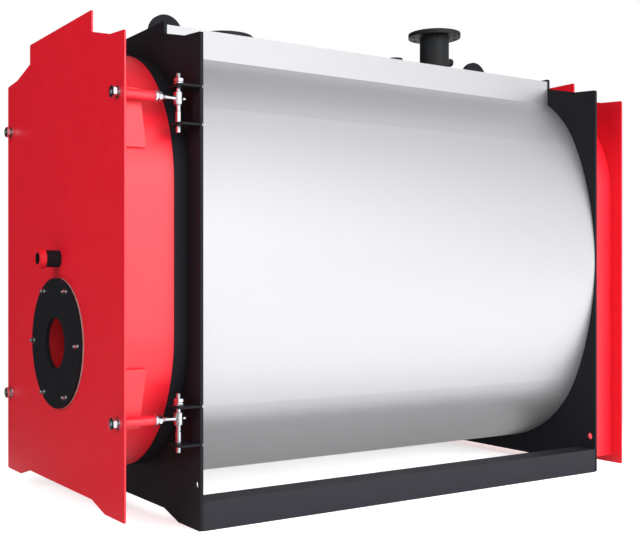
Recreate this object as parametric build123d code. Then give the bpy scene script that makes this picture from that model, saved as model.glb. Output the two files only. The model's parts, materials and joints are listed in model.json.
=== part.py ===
from build123d import *
from math import cos, radians, tan
import os

# Industrial hot-water boiler: an oval sheet-clad body on two base rails between end plates,
# with a swinging front door that carries the burner plate, and a smoke box at the back.
# All sizes are in millimetres. X runs across, Z is up, and Y runs from the door to the back.
# Y values are measured from the front face of the door panel until the pieces are written.

# End plates and door panel
plate_half_width = 600.0
plate_top_z = 1847.0
plate_thickness = 12.0
plate_corner_radius = 8.0
sign_half_width = 322.0
sign_height = 47.0
shoulder_width = 118.0
notch_drop = 41.0
shoulder_drop = 9.0
foot_width = 164.0
foot_rise = 31.0
lift_hole_radius = 15.0
lift_hole_margin = 32.0
lift_hole_z = 160.0
panel_thickness = 6.0
panel_step_drop = 32.0
door_panel_bottom_z = 65.0
rear_cover_bottom_z = 20.0

# Places along the body
front_plate_y = 290.0
body_length = 2055.0
smoke_box_depth = 172.0

# Smoke box at the back, and the flue spigot on its cover
smoke_box_margin = 61.0
smoke_box_top_drop = 13.0
smoke_box_bottom_z = 54.0
smoke_box_wall = 5.0
flue_radius = 150.0
flue_wall = 4.0
flue_reach = 100.0
flue_drop = 547.0

# Silver casing, the cover on top of it and the vessel inside it
casing_margin = 2.0
casing_bottom_z = 98.5
casing_crown_drop = 4.0
casing_flank_angle = 23.0
casing_thickness = 3.0
vessel_inset = 50.0
vessel_thickness = 8.0
cover_margin = 3.0
cover_drop = 12.0
cover_thickness = 3.0

# Base rails
rail_width = 100.0
rail_inset = 1.0
rail_height = 104.0
rail_thickness = 6.0

# Door drum, front ring, seal and lining
drum_margin = 96.0
drum_top_drop = 84.0
drum_bottom_z = 151.0
drum_flank_height = 540.0
drum_flank_angle = 35.5
drum_wall = 6.0
ring_depth = 53.0
ring_lip_width = 30.0
ring_lip_thickness = 6.0
seal_width = 20.0
seal_strip_thickness = 4.0
seal_strip_set_back = 3.0
door_seal_gap = 0.8
lining_set_back = 49.0
lining_gap = 0.3

# Furnace and smoke tubes
burner_z = 638.0
furnace_radius = 300.0
furnace_wall = 12.0
furnace_back_space = 325.0
smoke_tube_radius = 38.0
smoke_tube_wall = 4.0
smoke_tube_pitch = 150.0
smoke_tube_row_rise = 170.0
smoke_tube_row_count = 4
smoke_tube_above_furnace = 172.0
smoke_tube_crown_space = 330.0

# Burner plate, its gasket and the throat behind them
burner_disc_radius = 250.0
burner_disc_thickness = 12.0
burner_gasket_thickness = 4.0
burner_hole_radius = 99.0
throat_step = 3.0
throat_wall = 8.0

# Sight tube
sight_above_disc = 74.0
sight_tube_radius = 32.5
sight_tube_wall = 6.0
sight_reach = 60.0
sight_ring_radius = 39.0
sight_ring_length = 25.0
sight_ring_bore = 23.5
sight_glass_thickness = 6.0

# Door ties and hinges
tie_margin = 49.0
tie_top_drop = 331.0
tie_low_z = 396.0
hinge_stand_off = 60.0
tie_rod_radius = 8.0
tie_tube_radius = 17.5
rod_clearance = 1.0
rod_front_reach = 23.0
rod_bare_length = 96.0
rod_stub_radius = 7.0
rod_stub_reach = 30.0
front_washer_radius = 25.0
rear_washer_radius = 20.0
washer_thickness = 4.0
front_nut_across_flats = 40.0
front_nut_height = 15.0
rear_nut_across_flats = 30.0
rear_nut_height = 14.0
eye_radius = 16.5
eye_half_height = 22.0
pin_radius = 9.0
pin_top = 88.0
pin_bottom = 120.0
pin_collar_radius = 10.5
pin_collar_top = 46.0
pin_shoulder_thickness = 4.0
pin_nut_across_flats = 32.0
pin_nut_height = 12.5
fit_gap = 0.3
lug_upper = 42.0
lug_lower = 92.0
lug_thickness = 8.0
lug_nose = 25.0
lug_corner_radius = 22.0
lug_inner_reach = 40.0
lug_slot_gap = 1.0
lug_notch_depth = 8.0
lug_notch_height = 9.0

# Door gussets
gusset_thickness = 6.0
gusset_far = 174.0
gusset_near = 30.0
gusset_far_length = 123.0
gusset_near_length = 95.0

# Pipe connections on top
flange_radius = 125.0
flange_thickness = 20.0
flange_hole_margin = 20.0
flange_hole_radius = 9.0
flange_hole_count = 8
pipe_radius = 69.85
pipe_wall = 4.0
flow_from_back = 435.0
flow_rise = 239.0
return_from_front = 432.0
return_rise = 71.0
socket_from_back = 682.0
socket_radius = 35.0
socket_bore = 25.0
socket_rise = 91.0
pocket_radius = 19.0
pocket_bore = 12.0
pocket_reach = 42.0
pocket_chamfer = 4.0
pocket_rise = 112.0
collar_gap = 3.0

# Lifting lugs on top
lifting_lug_half_width = 76.0
lifting_lug_thickness = 15.0
lifting_lug_rise = 129.0
lifting_lug_hole = 25.0
front_lug_from_front = 156.0
rear_lug_from_back = 175.0

# Places along Y worked out from the sizes above
body_front_y = front_plate_y + plate_thickness
body_back_y = body_front_y + body_length
rear_plate_back_y = body_back_y + plate_thickness
rear_cover_y = rear_plate_back_y + smoke_box_depth
back_y = rear_cover_y + panel_thickness + flue_reach
ring_front_y = front_plate_y - ring_depth
drum_back_y = ring_front_y - door_seal_gap
lining_back_y = drum_back_y - lining_set_back
furnace_back_y = body_back_y - furnace_back_space
hinge_y = front_plate_y - hinge_stand_off
tie_tube_back_y = hinge_y - rod_bare_length
front_y = -(sight_reach + sight_ring_length)
centre_y = (front_y + back_y) / 2
flow_y = body_back_y - flow_from_back
return_y = body_front_y + return_from_front
socket_y = body_back_y - socket_from_back
front_lug_y = body_front_y + front_lug_from_front
rear_lug_y = body_back_y - rear_lug_from_back

# Heights worked out from the sizes above
plate_step_z = plate_top_z - sign_height
cover_top_z = plate_top_z - cover_drop
casing_top_z = cover_top_z - casing_crown_drop
drum_top_z = plate_top_z - drum_top_drop
smoke_box_top_z = plate_top_z - smoke_box_top_drop
tie_heights = (tie_low_z, plate_top_z - tie_top_drop)
sight_z = burner_z + burner_disc_radius + sight_above_disc
flue_z = plate_top_z - flue_drop
flow_flange_top_z = cover_top_z + flow_rise
return_flange_top_z = cover_top_z + return_rise
socket_top_z = cover_top_z + socket_rise
pocket_z = cover_top_z + pocket_rise
lifting_lug_top_z = cover_top_z + lifting_lug_rise
casing_centre_z = (casing_top_z + casing_bottom_z) / 2
drum_centre_z = (drum_top_z + drum_bottom_z) / 2

# Widths and radii worked out from the sizes above
casing_half_width = plate_half_width - casing_margin
drum_half_width = plate_half_width - drum_margin
smoke_box_half_width = plate_half_width - smoke_box_margin
notch_half_width = plate_half_width - shoulder_width
tie_x = plate_half_width - tie_margin
lift_hole_x = plate_half_width - lift_hole_margin
throat_radius = burner_hole_radius + throat_step
flange_hole_circle = flange_radius - flange_hole_margin


def oval(half_width, half_height, flank_angle, flank_height, centre_z, inset=0.0):
    """Upright oval of two arc radii that meet at flank_angle, with a straight stretch on each side."""
    a = half_width - inset
    b = half_height - flank_height / 2 - inset
    turn = radians(flank_angle)
    shift = (b - a) / (1 + tan(turn) - 1 / cos(turn))
    crown = shift * tan(turn)
    big = a + shift
    small = b - crown
    high = centre_z + flank_height / 2
    low = centre_z - flank_height / 2
    top_span = 180 - 2 * flank_angle
    arcs = [
        CenterArc((-shift, high), big, 0, flank_angle),
        CenterArc((0, high + crown), small, flank_angle, top_span),
        CenterArc((shift, high), big, 180 - flank_angle, flank_angle),
        CenterArc((shift, low), big, 180, flank_angle),
        CenterArc((0, low - crown), small, 180 + flank_angle, top_span),
        CenterArc((-shift, low), big, 360 - flank_angle, flank_angle),
    ]
    if flank_height > 0:
        arcs.append(Line((-a, high), (-a, low)))
        arcs.append(Line((a, low), (a, high)))
    return make_face(Wire(arcs))


def casing_oval(inset=0.0):
    half_height = (casing_top_z - casing_bottom_z) / 2
    return oval(casing_half_width, half_height, casing_flank_angle, 0.0, casing_centre_z, inset)


def drum_oval(inset=0.0):
    half_height = (drum_top_z - drum_bottom_z) / 2
    return oval(drum_half_width, half_height, drum_flank_angle, drum_flank_height,
                drum_centre_z, inset)


def slab(face, start_y, end_y):
    """A face drawn in X and Z, made solid from start_y to end_y."""
    return Pos(0, end_y, 0) * extrude(Plane.XZ * face, end_y - start_y)


def round_bar(radius, x, z, start_y, end_y):
    return slab(Pos(x, z) * Circle(radius), start_y, end_y)


def upright(radius, x, y, start_z, end_z):
    return Pos(x, y, start_z) * extrude(Circle(radius), end_z - start_z)


def hexagon(across_flats):
    return RegularPolygon(across_flats / 2, 6, major_radius=False)


def plate_outline(bottom_z, step_z):
    """Half outline of a plate with feet, shoulders and a raised sign field, then mirrored."""
    notch_z = step_z - notch_drop
    shoulder_z = notch_z - shoulder_drop
    half = [
        (sign_half_width, bottom_z + foot_rise),
        (plate_half_width - foot_width, bottom_z),
        (plate_half_width, bottom_z),
        (plate_half_width, shoulder_z),
        (notch_half_width, notch_z),
        (sign_half_width, step_z),
        (sign_half_width, plate_top_z),
    ]
    mirrored = [(-x, z) for x, z in reversed(half)]
    face = make_face(Polyline(*half, *mirrored, close=True))
    top_corners = face.vertices().group_by(Axis.Y)[-1]
    side_corners = face.vertices().group_by(Axis.X)[0] + face.vertices().group_by(Axis.X)[-1]
    return fillet(top_corners + side_corners, plate_corner_radius)


def smoke_tube_places():
    """Staggered rows of four and five tubes, as many rows as fit between furnace and crown."""
    places = []
    row = 0
    z = burner_z + furnace_radius + smoke_tube_above_furnace
    while z < casing_top_z - smoke_tube_crown_space:
        count = smoke_tube_row_count + row % 2
        for k in range(count):
            x = (k - (count - 1) / 2) * smoke_tube_pitch
            places.append((x, z))
        row += 1
        z += smoke_tube_row_rise
    return places


def tube_holes(start_y, end_y, radius):
    return [round_bar(radius, x, z, start_y, end_y) for x, z in smoke_tube_places()]


def end_plate(start_y):
    end_y = start_y + plate_thickness
    plate = slab(plate_outline(0.0, plate_step_z), start_y, end_y)
    for side in (-1, 1):
        plate -= round_bar(lift_hole_radius, side * lift_hole_x, lift_hole_z, start_y, end_y)
    for hole in tube_holes(start_y, end_y, smoke_tube_radius):
        plate -= hole
    return plate


def front_plate():
    """End plate with the mouth of the furnace and a small edge notch behind every hinge lug."""
    plate = end_plate(front_plate_y)
    for z in lug_heights():
        for side in (-1, 1):
            notch = Rectangle(2 * lug_notch_depth, lug_notch_height)
            plate -= slab(Pos(side * plate_half_width, z) * notch, front_plate_y, body_front_y)
    return plate - round_bar(furnace_radius, 0, burner_z, front_plate_y, body_front_y)


def rear_plate():
    return end_plate(body_back_y)


def rail(side):
    """Channel rail with its web outward and its open side towards the middle."""
    outer_x = plate_half_width - rail_inset
    inner_x = outer_x - rail_width
    channel = [
        (inner_x, 0),
        (outer_x, 0),
        (outer_x, rail_height),
        (inner_x, rail_height),
        (inner_x, rail_height - rail_thickness),
        (outer_x - rail_thickness, rail_height - rail_thickness),
        (outer_x - rail_thickness, rail_thickness),
        (inner_x, rail_thickness),
    ]
    points = [(side * x, z) for x, z in channel]
    return slab(make_face(Polyline(*points, close=True)), body_front_y, body_back_y)


def front_ring():
    """Short collar on the front plate, with an inward lip that the door seal presses on."""
    wall = slab(drum_oval() - drum_oval(drum_wall), ring_front_y, front_plate_y)
    lip = drum_oval() - drum_oval(drum_wall + ring_lip_width)
    return wall + slab(lip, ring_front_y, ring_front_y + ring_lip_thickness)


def furnace_tube():
    tube = round_bar(furnace_radius, 0, burner_z, front_plate_y, furnace_back_y)
    bore = furnace_radius - furnace_wall
    return tube - round_bar(bore, 0, burner_z, front_plate_y, furnace_back_y)


def furnace_end():
    return round_bar(furnace_radius, 0, burner_z, furnace_back_y, furnace_back_y + furnace_wall)


def smoke_tubes():
    tubes = []
    for x, z in smoke_tube_places():
        tube = round_bar(smoke_tube_radius, x, z, front_plate_y, rear_plate_back_y)
        inner = smoke_tube_radius - smoke_tube_wall
        tubes.append(tube - round_bar(inner, x, z, front_plate_y, rear_plate_back_y))
    return Compound(tubes)


def top_openings(gap):
    """What passes up through the casing and the top cover, grown by a gap."""
    low_z = casing_centre_z
    high_z = lifting_lug_top_z
    cutters = [
        upright(pipe_radius + gap, 0, flow_y, low_z, high_z),
        upright(pipe_radius + gap, 0, return_y, low_z, high_z),
        upright(socket_radius + gap, 0, socket_y, low_z, high_z),
    ]
    for y in (front_lug_y, rear_lug_y):
        width = 2 * (lifting_lug_half_width + gap)
        slot = Rectangle(lifting_lug_thickness + 2 * gap, width)
        cutters.append(Pos(0, y, low_z) * extrude(slot, high_z - low_z))
    return cutters


def casing():
    shell = slab(casing_oval() - casing_oval(casing_thickness), body_front_y, body_back_y)
    for cutter in top_openings(collar_gap):
        shell -= cutter
    return shell


def top_cover():
    width = 2 * (sign_half_width - cover_margin)
    height = cover_top_z - casing_centre_z
    outer = Pos(0, casing_centre_z + height / 2) * Rectangle(width, height)
    inner = Pos(0, casing_centre_z + height / 2 - cover_thickness)
    inner *= Rectangle(width - 2 * cover_thickness, height)
    cover = slab(outer - inner - casing_oval(), body_front_y, body_back_y)
    for cutter in top_openings(collar_gap):
        cover -= cutter
    return cover


def vessel():
    face = casing_oval(vessel_inset) - casing_oval(vessel_inset + vessel_thickness)
    shell = slab(face, body_front_y, body_back_y)
    for y in (flow_y, return_y):
        shell -= upright(pipe_radius - pipe_wall, 0, y, casing_centre_z, cover_top_z)
    return shell - upright(socket_bore, 0, socket_y, casing_centre_z, cover_top_z)


def on_vessel(piece):
    """Trim the foot of a piece to the crown of the vessel it is welded to."""
    return piece - slab(casing_oval(vessel_inset), body_front_y, body_back_y)


def pipe(y, top_z):
    outside = on_vessel(upright(pipe_radius, 0, y, casing_centre_z, top_z))
    return outside - upright(pipe_radius - pipe_wall, 0, y, casing_centre_z, top_z)


def flange(y, top_z):
    disc = upright(flange_radius, 0, y, top_z - flange_thickness, top_z)
    disc -= upright(pipe_radius, 0, y, top_z - flange_thickness, top_z)
    for k in range(flange_hole_count):
        place = Rot(0, 0, (k + 0.5) * 360 / flange_hole_count) * Pos(flange_hole_circle, 0, 0)
        hole = Cylinder(flange_hole_radius, 2 * flange_thickness)
        disc -= Pos(0, y, top_z) * place * hole
    return disc


def flow_pocket():
    """Short level socket on the back of the flow pipe for a sensor."""
    end_y = flow_y + pipe_radius + pocket_reach
    body = round_bar(pocket_radius, 0, pocket_z, flow_y, end_y)
    body = chamfer(body.edges().group_by(Axis.Y)[-1], pocket_chamfer)
    body -= upright(pipe_radius, 0, flow_y, cover_top_z, flow_flange_top_z)
    return body - round_bar(pocket_bore, 0, pocket_z, flow_y, end_y)


def safety_socket():
    body = on_vessel(upright(socket_radius, 0, socket_y, casing_centre_z, socket_top_z))
    return body - upright(socket_bore, 0, socket_y, casing_centre_z, socket_top_z)


def lifting_lug(y):
    """Round-topped upright plate, along Y, with an eye for a hook."""
    half_width = lifting_lug_half_width
    eye_z = lifting_lug_top_z - half_width
    foot = Pos(y, (casing_centre_z + eye_z) / 2) * Rectangle(2 * half_width, eye_z - casing_centre_z)
    face = foot + Pos(y, eye_z) * Circle(half_width)
    face -= Pos(y, eye_z) * Circle(lifting_lug_hole)
    plate = extrude(Plane.YZ * face, lifting_lug_thickness / 2, both=True)
    return on_vessel(plate)


def arch(half_width, top_z, bottom_z, inset=0.0):
    """Round-topped outline with straight flanks and a flat foot."""
    radius = half_width - inset
    spring_z = top_z - half_width
    low_z = bottom_z + inset
    box = Pos(0, (spring_z + low_z) / 2) * Rectangle(2 * radius, spring_z - low_z)
    return box + Pos(0, spring_z) * Circle(radius)


def smoke_box():
    outer = arch(smoke_box_half_width, smoke_box_top_z, smoke_box_bottom_z)
    inner = arch(smoke_box_half_width, smoke_box_top_z, smoke_box_bottom_z, smoke_box_wall)
    return slab(outer - inner, rear_plate_back_y, rear_cover_y)


def rear_cover():
    face = plate_outline(rear_cover_bottom_z, plate_step_z - panel_step_drop)
    face -= Pos(0, flue_z) * Circle(flue_radius)
    return slab(face, rear_cover_y, rear_cover_y + panel_thickness)


def flue_spigot():
    face = Circle(flue_radius) - Circle(flue_radius - flue_wall)
    return slab(Pos(0, flue_z) * face, rear_cover_y, back_y)


def lug_heights():
    """Middle height of every hinge lug, from the height of the tie it serves."""
    heights = []
    for tie_z in tie_heights:
        heights.append(tie_z + lug_upper)
        heights.append(tie_z - lug_lower)
    return heights


def hinge_lugs(side, slotted):
    """Flat lugs on the front plate, in pairs, each with a hole or a slot for a pin."""
    nose_y = hinge_y - lug_nose
    width = lug_inner_reach + tie_margin
    middle_x = tie_x + (tie_margin - lug_inner_reach) / 2
    blank = Rectangle(width, front_plate_y - nose_y)
    blank = Pos(middle_x, (front_plate_y + nose_y) / 2) * blank
    front_corners = blank.vertices().sort_by(Axis.Y)[:2]
    blank = fillet(front_corners, lug_corner_radius)
    hole = pin_radius + fit_gap
    blank -= Pos(tie_x, hinge_y) * Circle(hole)
    if slotted:
        slot_width = 2 * (pin_radius + lug_slot_gap)
        blank -= Pos(tie_x, hinge_y) * Circle(slot_width / 2)
        blank -= Pos(tie_x, hinge_y - lug_nose / 2) * Rectangle(slot_width, lug_nose)
    lugs = []
    for z in lug_heights():
        lug = Pos(0, 0, z - lug_thickness / 2) * extrude(blank, lug_thickness)
        lugs.append(lug if side > 0 else mirror(lug, about=Plane.YZ))
    return Compound([solid for lug in lugs for solid in lug.solids()])


def both_ties(make, side):
    """One node from the two like pieces of one side, at the two tie heights."""
    pieces = []
    for tie_z in tie_heights:
        piece = make(side * tie_x, tie_z)
        pieces.extend(piece.solids())
    return Compound(pieces)


def hinge_pin(x, tie_z):
    """Turned pin through a pair of lugs, with a collar that carries the eye, and two nuts."""
    collar_z = -lug_lower + lug_thickness / 2 + fit_gap
    shoulder_top_z = -eye_half_height - fit_gap
    shoulder_z = shoulder_top_z - pin_shoulder_thickness
    profile = Polyline(
        (0, -pin_bottom),
        (pin_radius, -pin_bottom),
        (pin_radius, collar_z),
        (pin_collar_radius, collar_z),
        (pin_collar_radius, -pin_collar_top),
        (pin_radius, -pin_collar_top),
        (pin_radius, shoulder_z),
        (pin_collar_radius, shoulder_z),
        (pin_collar_radius, shoulder_top_z),
        (pin_radius, shoulder_top_z),
        (pin_radius, pin_top),
        (0, pin_top),
        close=True,
    )
    pin = revolve(Plane.XZ * make_face(profile), Axis.Z)
    nut_foot_z = lug_upper + lug_thickness / 2 + fit_gap
    for k in range(2):
        nut = extrude(hexagon(pin_nut_across_flats), pin_nut_height - fit_gap)
        pin += Pos(0, 0, nut_foot_z + k * pin_nut_height) * nut
    return Pos(x, hinge_y, tie_z) * pin


def tie_rod(x, tie_z):
    """Threaded rod with its nuts and washers, an upright eye at the back and a short end past it."""
    rod = round_bar(tie_rod_radius, x, tie_z, -rod_front_reach, hinge_y)
    rear_washer_y = tie_tube_back_y + washer_thickness
    front_nut_y = -washer_thickness - front_nut_height
    rod += round_bar(front_washer_radius, x, tie_z, -washer_thickness, 0.0)
    rod += round_bar(rear_washer_radius, x, tie_z, tie_tube_back_y, rear_washer_y)
    front_nut = Pos(x, tie_z) * hexagon(front_nut_across_flats)
    rear_nut = Pos(x, tie_z) * hexagon(rear_nut_across_flats)
    rod += slab(front_nut, front_nut_y, -washer_thickness)
    rod += slab(rear_nut, rear_washer_y, rear_washer_y + rear_nut_height)
    low_z = tie_z - eye_half_height
    high_z = tie_z + eye_half_height
    rod += upright(eye_radius, x, hinge_y, low_z, high_z)
    rod += round_bar(rod_stub_radius, x, tie_z, hinge_y, hinge_y + rod_stub_reach)
    return rod - upright(pin_radius + fit_gap, x, hinge_y, low_z, high_z)


def tie_tube(x, tie_z):
    tube = round_bar(tie_tube_radius, x, tie_z, panel_thickness, tie_tube_back_y)
    return tube - round_bar(tie_rod_radius + rod_clearance, x, tie_z, panel_thickness, tie_tube_back_y)


def door_gussets(side):
    """Upright stiffeners between panel and drum, cut slanting, with a level web to the drum."""
    middle_z = sum(tie_heights) / 2
    pieces = []
    for tie_z in tie_heights:
        inward = 1 if tie_z < middle_z else -1
        far_z = tie_z + inward * gusset_far
        near_z = tie_z - inward * gusset_near
        profile = Polyline(
            (panel_thickness, near_z),
            (panel_thickness, far_z),
            (panel_thickness + gusset_far_length, far_z),
            (panel_thickness + gusset_near_length, near_z),
            close=True,
        )
        plate = extrude(Plane.YZ.offset(drum_half_width - gusset_thickness) * make_face(profile),
                        gusset_thickness)
        web_length = gusset_near_length
        web = Pos(drum_half_width / 2, near_z + inward * gusset_thickness / 2)
        web *= Rectangle(drum_half_width, gusset_thickness)
        web = slab(web - drum_oval(), panel_thickness, panel_thickness + web_length)
        piece = plate + web
        if side < 0:
            piece = mirror(piece, about=Plane.YZ)
        pieces.extend(piece.solids())
    return Compound(pieces)


def door_panel():
    face = plate_outline(door_panel_bottom_z, plate_step_z - panel_step_drop)
    face -= Pos(0, burner_z) * Circle(throat_radius + throat_wall)
    face -= Pos(0, sight_z) * Circle(sight_tube_radius)
    for side in (-1, 1):
        for tie_z in tie_heights:
            face -= Pos(side * tie_x, tie_z) * Circle(tie_rod_radius + rod_clearance)
    return slab(face, 0.0, panel_thickness)


def seal_strip_inset():
    """How far the strip that holds the seal stands inside the outside of the drum."""
    return drum_wall + seal_width + 2 * lining_gap


def door_drum():
    """Wall of the door drum, with the inner strip and floor of its seal groove."""
    inner = seal_strip_inset()
    floor_y = drum_back_y - seal_width - seal_strip_thickness
    strip_back_y = drum_back_y - seal_strip_set_back
    drum = slab(drum_oval() - drum_oval(drum_wall), panel_thickness, drum_back_y)
    drum += slab(drum_oval(drum_wall) - drum_oval(inner), floor_y, floor_y + seal_strip_thickness)
    strip = drum_oval(inner) - drum_oval(inner + seal_strip_thickness)
    return drum + slab(strip, floor_y, strip_back_y)


def door_seal():
    """Rope seal in the groove at the back of the drum."""
    outer = drum_wall + lining_gap
    face = drum_oval(outer) - drum_oval(outer + seal_width)
    return slab(face, drum_back_y - seal_width, drum_back_y)


def door_lining():
    """Heat-proof block that fills the drum behind the panel."""
    face = drum_oval(drum_wall + lining_gap)
    face -= Pos(0, burner_z) * Circle(throat_radius + throat_wall)
    face -= Pos(0, sight_z) * Circle(sight_tube_radius)
    return slab(face, panel_thickness, lining_back_y)


def burner_gasket():
    """Soft ring between the burner plate and the door panel."""
    face = Circle(burner_disc_radius) - Circle(throat_radius)
    return slab(Pos(0, burner_z) * face, -burner_gasket_thickness, 0.0)


def burner_disc():
    face = Circle(burner_disc_radius) - Circle(burner_hole_radius)
    back = -burner_gasket_thickness
    return slab(Pos(0, burner_z) * face, back - burner_disc_thickness, back)


def burner_throat():
    face = Circle(throat_radius + throat_wall) - Circle(throat_radius)
    return slab(Pos(0, burner_z) * face, 0.0, lining_back_y)


def sight_tube():
    face = Circle(sight_tube_radius) - Circle(sight_tube_radius - sight_tube_wall)
    return slab(Pos(0, sight_z) * face, -sight_reach, lining_back_y)


def sight_ring():
    face = Circle(sight_ring_radius) - Circle(sight_ring_bore)
    return slab(Pos(0, sight_z) * face, front_y, -sight_reach)


def sight_glass():
    face = Circle(sight_ring_bore)
    return slab(Pos(0, sight_z) * face, -sight_reach - sight_glass_thickness, -sight_reach)


def all_pieces():
    pieces = {
        "front_plate": front_plate(),
        "rear_plate": rear_plate(),
        "right_rail": rail(1),
        "left_rail": rail(-1),
        "front_ring": front_ring(),
        "furnace_tube": furnace_tube(),
        "furnace_end": furnace_end(),
        "smoke_tubes": smoke_tubes(),
        "vessel": vessel(),
        "casing": casing(),
        "top_cover": top_cover(),
        "flow_pipe": pipe(flow_y, flow_flange_top_z),
        "flow_flange": flange(flow_y, flow_flange_top_z),
        "flow_pocket": flow_pocket(),
        "return_pipe": pipe(return_y, return_flange_top_z),
        "return_flange": flange(return_y, return_flange_top_z),
        "safety_socket": safety_socket(),
        "front_lifting_lug": lifting_lug(front_lug_y),
        "rear_lifting_lug": lifting_lug(rear_lug_y),
        "smoke_box": smoke_box(),
        "rear_cover": rear_cover(),
        "flue_spigot": flue_spigot(),
        "door_panel": door_panel(),
        "door_drum": door_drum(),
        "door_seal": door_seal(),
        "door_lining": door_lining(),
        "burner_gasket": burner_gasket(),
        "burner_disc": burner_disc(),
        "burner_throat": burner_throat(),
        "sight_tube": sight_tube(),
        "sight_ring": sight_ring(),
        "sight_glass": sight_glass(),
    }
    for name, side in (("right", 1), ("left", -1)):
        pieces[name + "_hinge_lugs"] = hinge_lugs(side, slotted=side < 0)
        pieces[name + "_hinge_pins"] = both_ties(hinge_pin, side)
        pieces[name + "_tie_rods"] = both_ties(tie_rod, side)
        pieces[name + "_tie_tubes"] = both_ties(tie_tube, side)
        pieces[name + "_gussets"] = door_gussets(side)
    return pieces


os.makedirs("parts", exist_ok=True)
for node, shape in all_pieces().items():
    placed = Pos(0, -centre_y, 0) * shape
    export_step(placed, "parts/" + node + ".step")
    print(node, len(placed.solids()), "solids", round(placed.volume / 1e6, 3), "litres")
print("centre_y", centre_y)
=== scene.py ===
# %% [markdown]
# The boiler arrives as a finished CAD frame: every plate, pipe and pin is already at its real
# size and place. This lesson adds what the workshop adds after the welding: paint, plating,
# bolts, weld beads, rope and a studio to look at it all. Loading the frame comes first.

# %% Load the frame
import json
import math

import bpy
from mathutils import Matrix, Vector


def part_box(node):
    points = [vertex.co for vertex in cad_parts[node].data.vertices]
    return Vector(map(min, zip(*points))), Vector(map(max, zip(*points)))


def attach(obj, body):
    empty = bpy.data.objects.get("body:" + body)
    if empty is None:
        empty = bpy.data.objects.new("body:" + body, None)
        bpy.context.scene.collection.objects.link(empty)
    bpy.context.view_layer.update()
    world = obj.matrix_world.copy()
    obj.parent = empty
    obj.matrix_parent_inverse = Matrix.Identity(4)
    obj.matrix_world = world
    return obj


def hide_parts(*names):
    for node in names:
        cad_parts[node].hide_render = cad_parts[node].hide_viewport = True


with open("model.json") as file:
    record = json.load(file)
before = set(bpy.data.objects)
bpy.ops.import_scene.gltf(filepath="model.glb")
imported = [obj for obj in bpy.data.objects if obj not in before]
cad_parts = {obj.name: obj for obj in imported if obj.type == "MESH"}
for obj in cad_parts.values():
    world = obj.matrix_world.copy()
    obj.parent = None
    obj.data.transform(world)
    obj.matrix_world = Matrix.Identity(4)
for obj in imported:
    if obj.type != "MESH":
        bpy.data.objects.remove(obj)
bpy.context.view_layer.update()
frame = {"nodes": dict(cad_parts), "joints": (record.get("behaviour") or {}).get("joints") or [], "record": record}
nodes = frame["nodes"]

# %% [markdown]
# The camera stands where the photographer's did: near the right front corner, at half height,
# and level, so that upright edges stay upright. The picture was cropped off centre, and the two
# shift values stand for that crop.

# %% Camera
door_front_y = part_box("door_panel")[0].y
camera_place = Vector((3.6674, door_front_y - 1.4129, 0.8821))
camera_heading = math.radians(58.0)
camera_focal = 1003.26
picture_width = 640
picture_height = 537
picture_centre = (252.33, 279.54)
sensor_width = 36.0


def deselect():
    """Deselects everything, because an operator acts on all that is selected."""
    bpy.ops.object.select_all(action="DESELECT")


deselect()
bpy.ops.object.camera_add(location=camera_place, rotation=(math.pi / 2, 0, camera_heading))
camera = bpy.context.object
camera.name = "photo_camera"
camera.data.sensor_width = sensor_width
camera.data.lens = camera_focal * sensor_width / picture_width
camera.data.shift_x = (picture_width / 2 - picture_centre[0]) / picture_width
camera.data.shift_y = (picture_centre[1] - picture_height / 2) / picture_width
bpy.context.scene.camera = camera
print("lens", round(camera.data.lens, 2), "mm")

# %% [markdown]
# Light and finishes are all made of shader nodes. A few small functions add a node with its
# settings, do arithmetic on sockets, and run a value smoothly or evenly from one level to another,
# so that the cells below read as sentences and not as lists of links. The Standard view shows
# every colour as it is written.

# %% Node helpers
bpy.context.scene.view_settings.view_transform = "Standard"


def node(tree, kind, **settings):
    """Adds a shader node and gives its settings and sockets their values."""
    made = tree.nodes.new(kind)
    for key, value in settings.items():
        if hasattr(made, key):
            setattr(made, key, value)
        else:
            made.inputs[key.replace("_", " ")].default_value = value
    return made


def put(tree, value, socket):
    """Sets a socket to a number, or links another socket to it."""
    if isinstance(value, (int, float)):
        socket.default_value = value
    else:
        tree.links.new(value, socket)


def math_of(tree, operation, first, second=None):
    """One Math node on sockets or numbers."""
    made = node(tree, "ShaderNodeMath", operation=operation)
    for slot, value in enumerate((first, second)):
        if value is not None:
            put(tree, value, made.inputs[slot])
    return made.outputs[0]


def product(tree, first, *others):
    """Several sockets or numbers, multiplied."""
    for other in others:
        first = math_of(tree, "MULTIPLY", first, other)
    return first


def ramped(tree, source, start, end, low, high, way="LINEAR"):
    """Runs evenly from low to high while the source goes from start to end."""
    made = node(tree, "ShaderNodeMapRange", interpolation_type=way, From_Min=start, From_Max=end)
    put(tree, low, made.inputs["To Min"])
    put(tree, high, made.inputs["To Max"])
    tree.links.new(source, made.inputs["Value"])
    return made.outputs[0]


def eased(tree, source, start, end, low=0.0, high=1.0):
    """Runs smoothly from low to high while the source goes from start to end."""
    return ramped(tree, source, start, end, low, high, "SMOOTHSTEP")


# %% Ray helpers


def kinds_of_rays(tree):
    """One mask for rays from the camera or through glass, and one for mirrored rays."""
    rays = node(tree, "ShaderNodeLightPath")
    seen = math_of(tree, "MAXIMUM", rays.outputs["Is Camera Ray"], rays.outputs["Is Transmission Ray"])
    return seen, rays.outputs["Is Glossy Ray"]


def either(tree, mask, first, second):
    """The first shader where the mask is 0, the second where it is 1."""
    mixed = node(tree, "ShaderNodeMixShader")
    tree.links.new(mask, mixed.inputs[0])
    tree.links.new(first.outputs[0], mixed.inputs[1])
    tree.links.new(second.outputs[0], mixed.inputs[2])
    return mixed


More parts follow.
